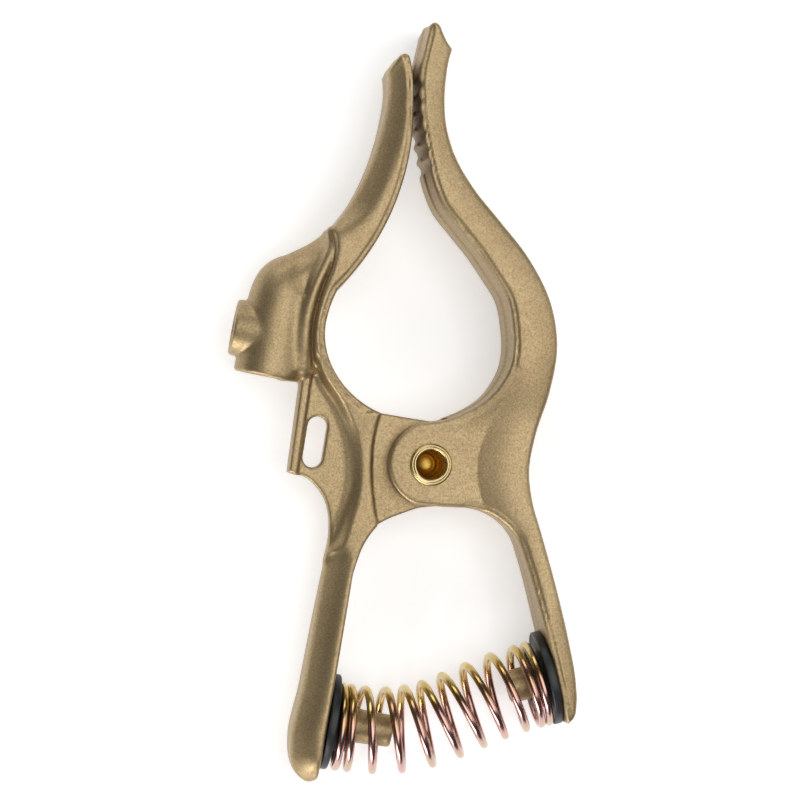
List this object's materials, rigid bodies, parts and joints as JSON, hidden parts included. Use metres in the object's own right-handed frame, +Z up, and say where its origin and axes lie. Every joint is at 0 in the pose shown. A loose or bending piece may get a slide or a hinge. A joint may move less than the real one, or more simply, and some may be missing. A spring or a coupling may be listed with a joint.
{
  "type": "welding ground clamp",
  "caption": "Spring-loaded cast brass ground clamp with toothed jaws, a cable socket with set screw, a slotted lug plate and a hollow pivot rivet.",
  "frame": {"origin": "centre of the pivot rivet's hollow bore, on the mid-plane of the clamp", "axes": "+Z along the pivot axis towards the rivet's open end, +Y from the handles towards the jaw tips, +X towards the fork arm; the clamp lies flat with Z up"},
  "size_m": [0.0954, 0.2069, 0.0262],
  "materials": {
    "cast_brass": "blasted casting",
    "rivet_brass": "polished",
    "plated_spring_steel": "yellow zinc plating",
    "black_plastic": "satin",
    "black_oxide_steel": "black oxide"
  },
  "bodies": {
    "cable_arm": {"left_arm": "cast_brass", "spring_cup_left": "black_plastic", "compression_spring": "plated_spring_steel"},
    "fork_arm": {"right_arm": "cast_brass", "pivot_rivet": "rivet_brass", "spring_cup_right": "black_plastic"},
    "set_screw": {"cable_set_screw": "black_oxide_steel"}
  },
  "joints": [
    {"name": "jaw_hinge", "type": "hinge", "parent": "cable_arm", "child": "fork_arm", "pos_m": [0, 0, 0], "axis": [0, 0, -1], "range_deg": [0, 20], "stiffness_Nm_per_rad": 11, "springref_deg": -14.32, "deforming": ["compression_spring"]},
    {"name": "screw_travel", "type": "slide", "parent": "cable_arm", "child": "set_screw", "axis": [0.9816, -0.1908, 0], "range_m": [0, 0.003]}
  ]
}
